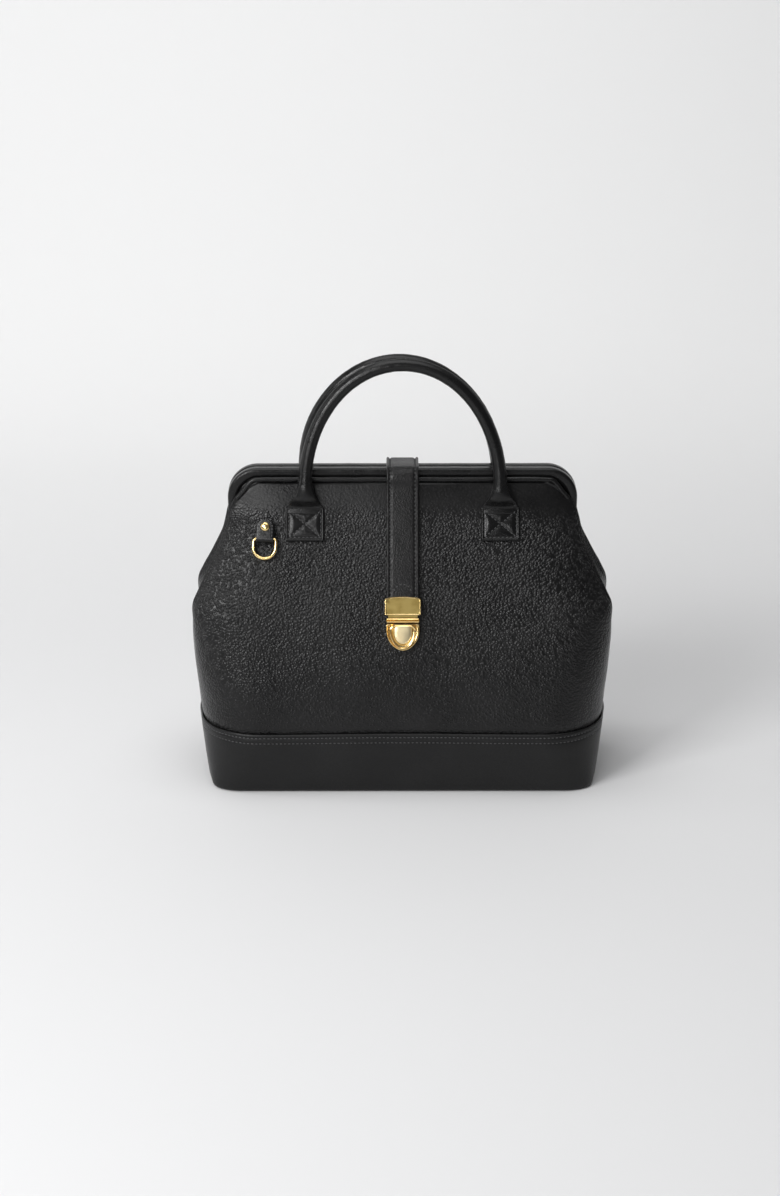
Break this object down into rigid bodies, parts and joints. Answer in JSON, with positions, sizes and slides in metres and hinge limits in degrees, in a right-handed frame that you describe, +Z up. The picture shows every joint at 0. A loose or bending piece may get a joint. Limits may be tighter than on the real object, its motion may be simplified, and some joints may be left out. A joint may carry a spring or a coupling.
{
  "type": "doctor bag",
  "caption": "Structured leather bag with a hinged frame mouth, base band, rolled handles, closing strap with push lock, and a hanging ring.",
  "frame": {"origin": "centre of the base on the ground", "axes": "+Z up, the front with the lock faces -Y, +X to the right seen from the front"},
  "size_m": [0.3894, 0.167, 0.3972],
  "materials": {
    "panel_leather": "fine pebble grain, satin",
    "band_leather": "smooth, satin",
    "smooth_leather": "smooth, soft sheen",
    "strap_leather": "smooth, satin, stitched",
    "lining": "matt woven cotton",
    "board": "pressed fibre board",
    "rope": "twisted cotton",
    "steel": "plain",
    "brass": "antique, satin polished",
    "pale_brass": "brushed"
  },
  "bodies": {
    "body": {"bottom_panel": "band_leather", "base_board": "board", "lining_floor": "lining", "base_band_front": "band_leather", "base_band_back": "band_leather", "base_band_right": "band_leather", "base_band_left": "band_leather", "right_gusset": "panel_leather", "left_gusset": "panel_leather", "front_panel_lower": "panel_leather", "back_panel_lower": "panel_leather", "lining_front": "lining", "lining_back": "lining", "lining_right": "lining", "lining_left": "lining", "right_hinge_rivet": "steel", "left_hinge_rivet": "steel"},
    "front_frame": {"front_frame_cover": "smooth_leather", "front_frame_steel": "steel"},
    "back_frame": {"back_frame_cover": "smooth_leather", "back_frame_steel": "steel"},
    "front_panel": {"front_panel": "panel_leather", "front_piping": "smooth_leather", "front_left_handle_patch": "smooth_leather", "front_right_handle_patch": "smooth_leather", "lock_base_plate": "steel", "lock_case": "brass", "button_spring": "steel", "d_ring_tab": "smooth_leather", "d_ring_rivet": "brass"},
    "back_panel": {"back_panel": "panel_leather", "back_piping": "smooth_leather", "back_left_handle_patch": "smooth_leather", "back_right_handle_patch": "smooth_leather", "strap_anchor": "strap_leather"},
    "front_handle": {"front_handle_cover": "smooth_leather", "front_handle_rope": "rope"},
    "back_handle": {"back_handle_cover": "smooth_leather", "back_handle_rope": "rope"},
    "strap": {"strap": "strap_leather", "hasp_front_plate": "brass", "hasp_back_plate": "brass", "hasp_collar": "brass"},
    "lock_button": {"lock_button": "pale_brass"},
    "d_ring": {"d_ring": "brass"}
  },
  "joints": [
    {"name": "mouth_open", "type": "hinge", "parent": "body", "child": "front_frame", "pos_m": [0, 0, 0.235], "axis": [1, 0, 0], "range_deg": [0, 30]},
    {"name": "back_frame_open", "type": "hinge", "parent": "body", "child": "back_frame", "pos_m": [0, 0, 0.235], "axis": [1, 0, 0], "range_deg": [-30, 0]},
    {"name": "front_panel_flex", "type": "hinge", "parent": "body", "child": "front_panel", "pos_m": [0, 0.1011, 0.0647], "axis": [1, 0, 0], "range_deg": [0, 6]},
    {"name": "back_panel_flex", "type": "hinge", "parent": "body", "child": "back_panel", "pos_m": [0, -0.1011, 0.0647], "axis": [1, 0, 0], "range_deg": [-6, 0]},
    {"name": "strap_lift", "type": "hinge", "parent": "back_panel", "child": "strap", "pos_m": [0, 0.016, 0.296], "axis": [1, 0, 0], "range_deg": [-93, 0]},
    {"name": "front_handle_swing", "type": "hinge", "parent": "front_panel", "child": "front_handle", "pos_m": [0, -0.0305, 0.265], "axis": [1, 0, 0], "range_deg": [0, 75]},
    {"name": "back_handle_swing", "type": "hinge", "parent": "back_panel", "child": "back_handle", "pos_m": [0, 0.0305, 0.265], "axis": [1, 0, 0], "range_deg": [-75, 0]},
    {"name": "button_press", "type": "slide", "parent": "front_panel", "child": "lock_button", "axis": [0, 0.9602, -0.2793], "range_m": [0, 0.0015], "stiffness_N_per_m": 200},
    {"name": "ring_swing", "type": "hinge", "parent": "front_panel", "child": "d_ring", "pos_m": [-0.12604, -0.03559, 0.23459], "axis": [-0.9938, 0.1108, 0], "range_deg": [0, 150]}
  ],
  "couplings": [
    {"joint": "back_frame_open", "follows": "mouth_open", "ratio": -1},
    {"joint": "front_panel_flex", "follows": "mouth_open", "ratio": 0.2},
    {"joint": "back_panel_flex", "follows": "mouth_open", "ratio": -0.2},
    {"joint": "strap_lift", "follows": "mouth_open", "ratio": -3.1}
  ]
}
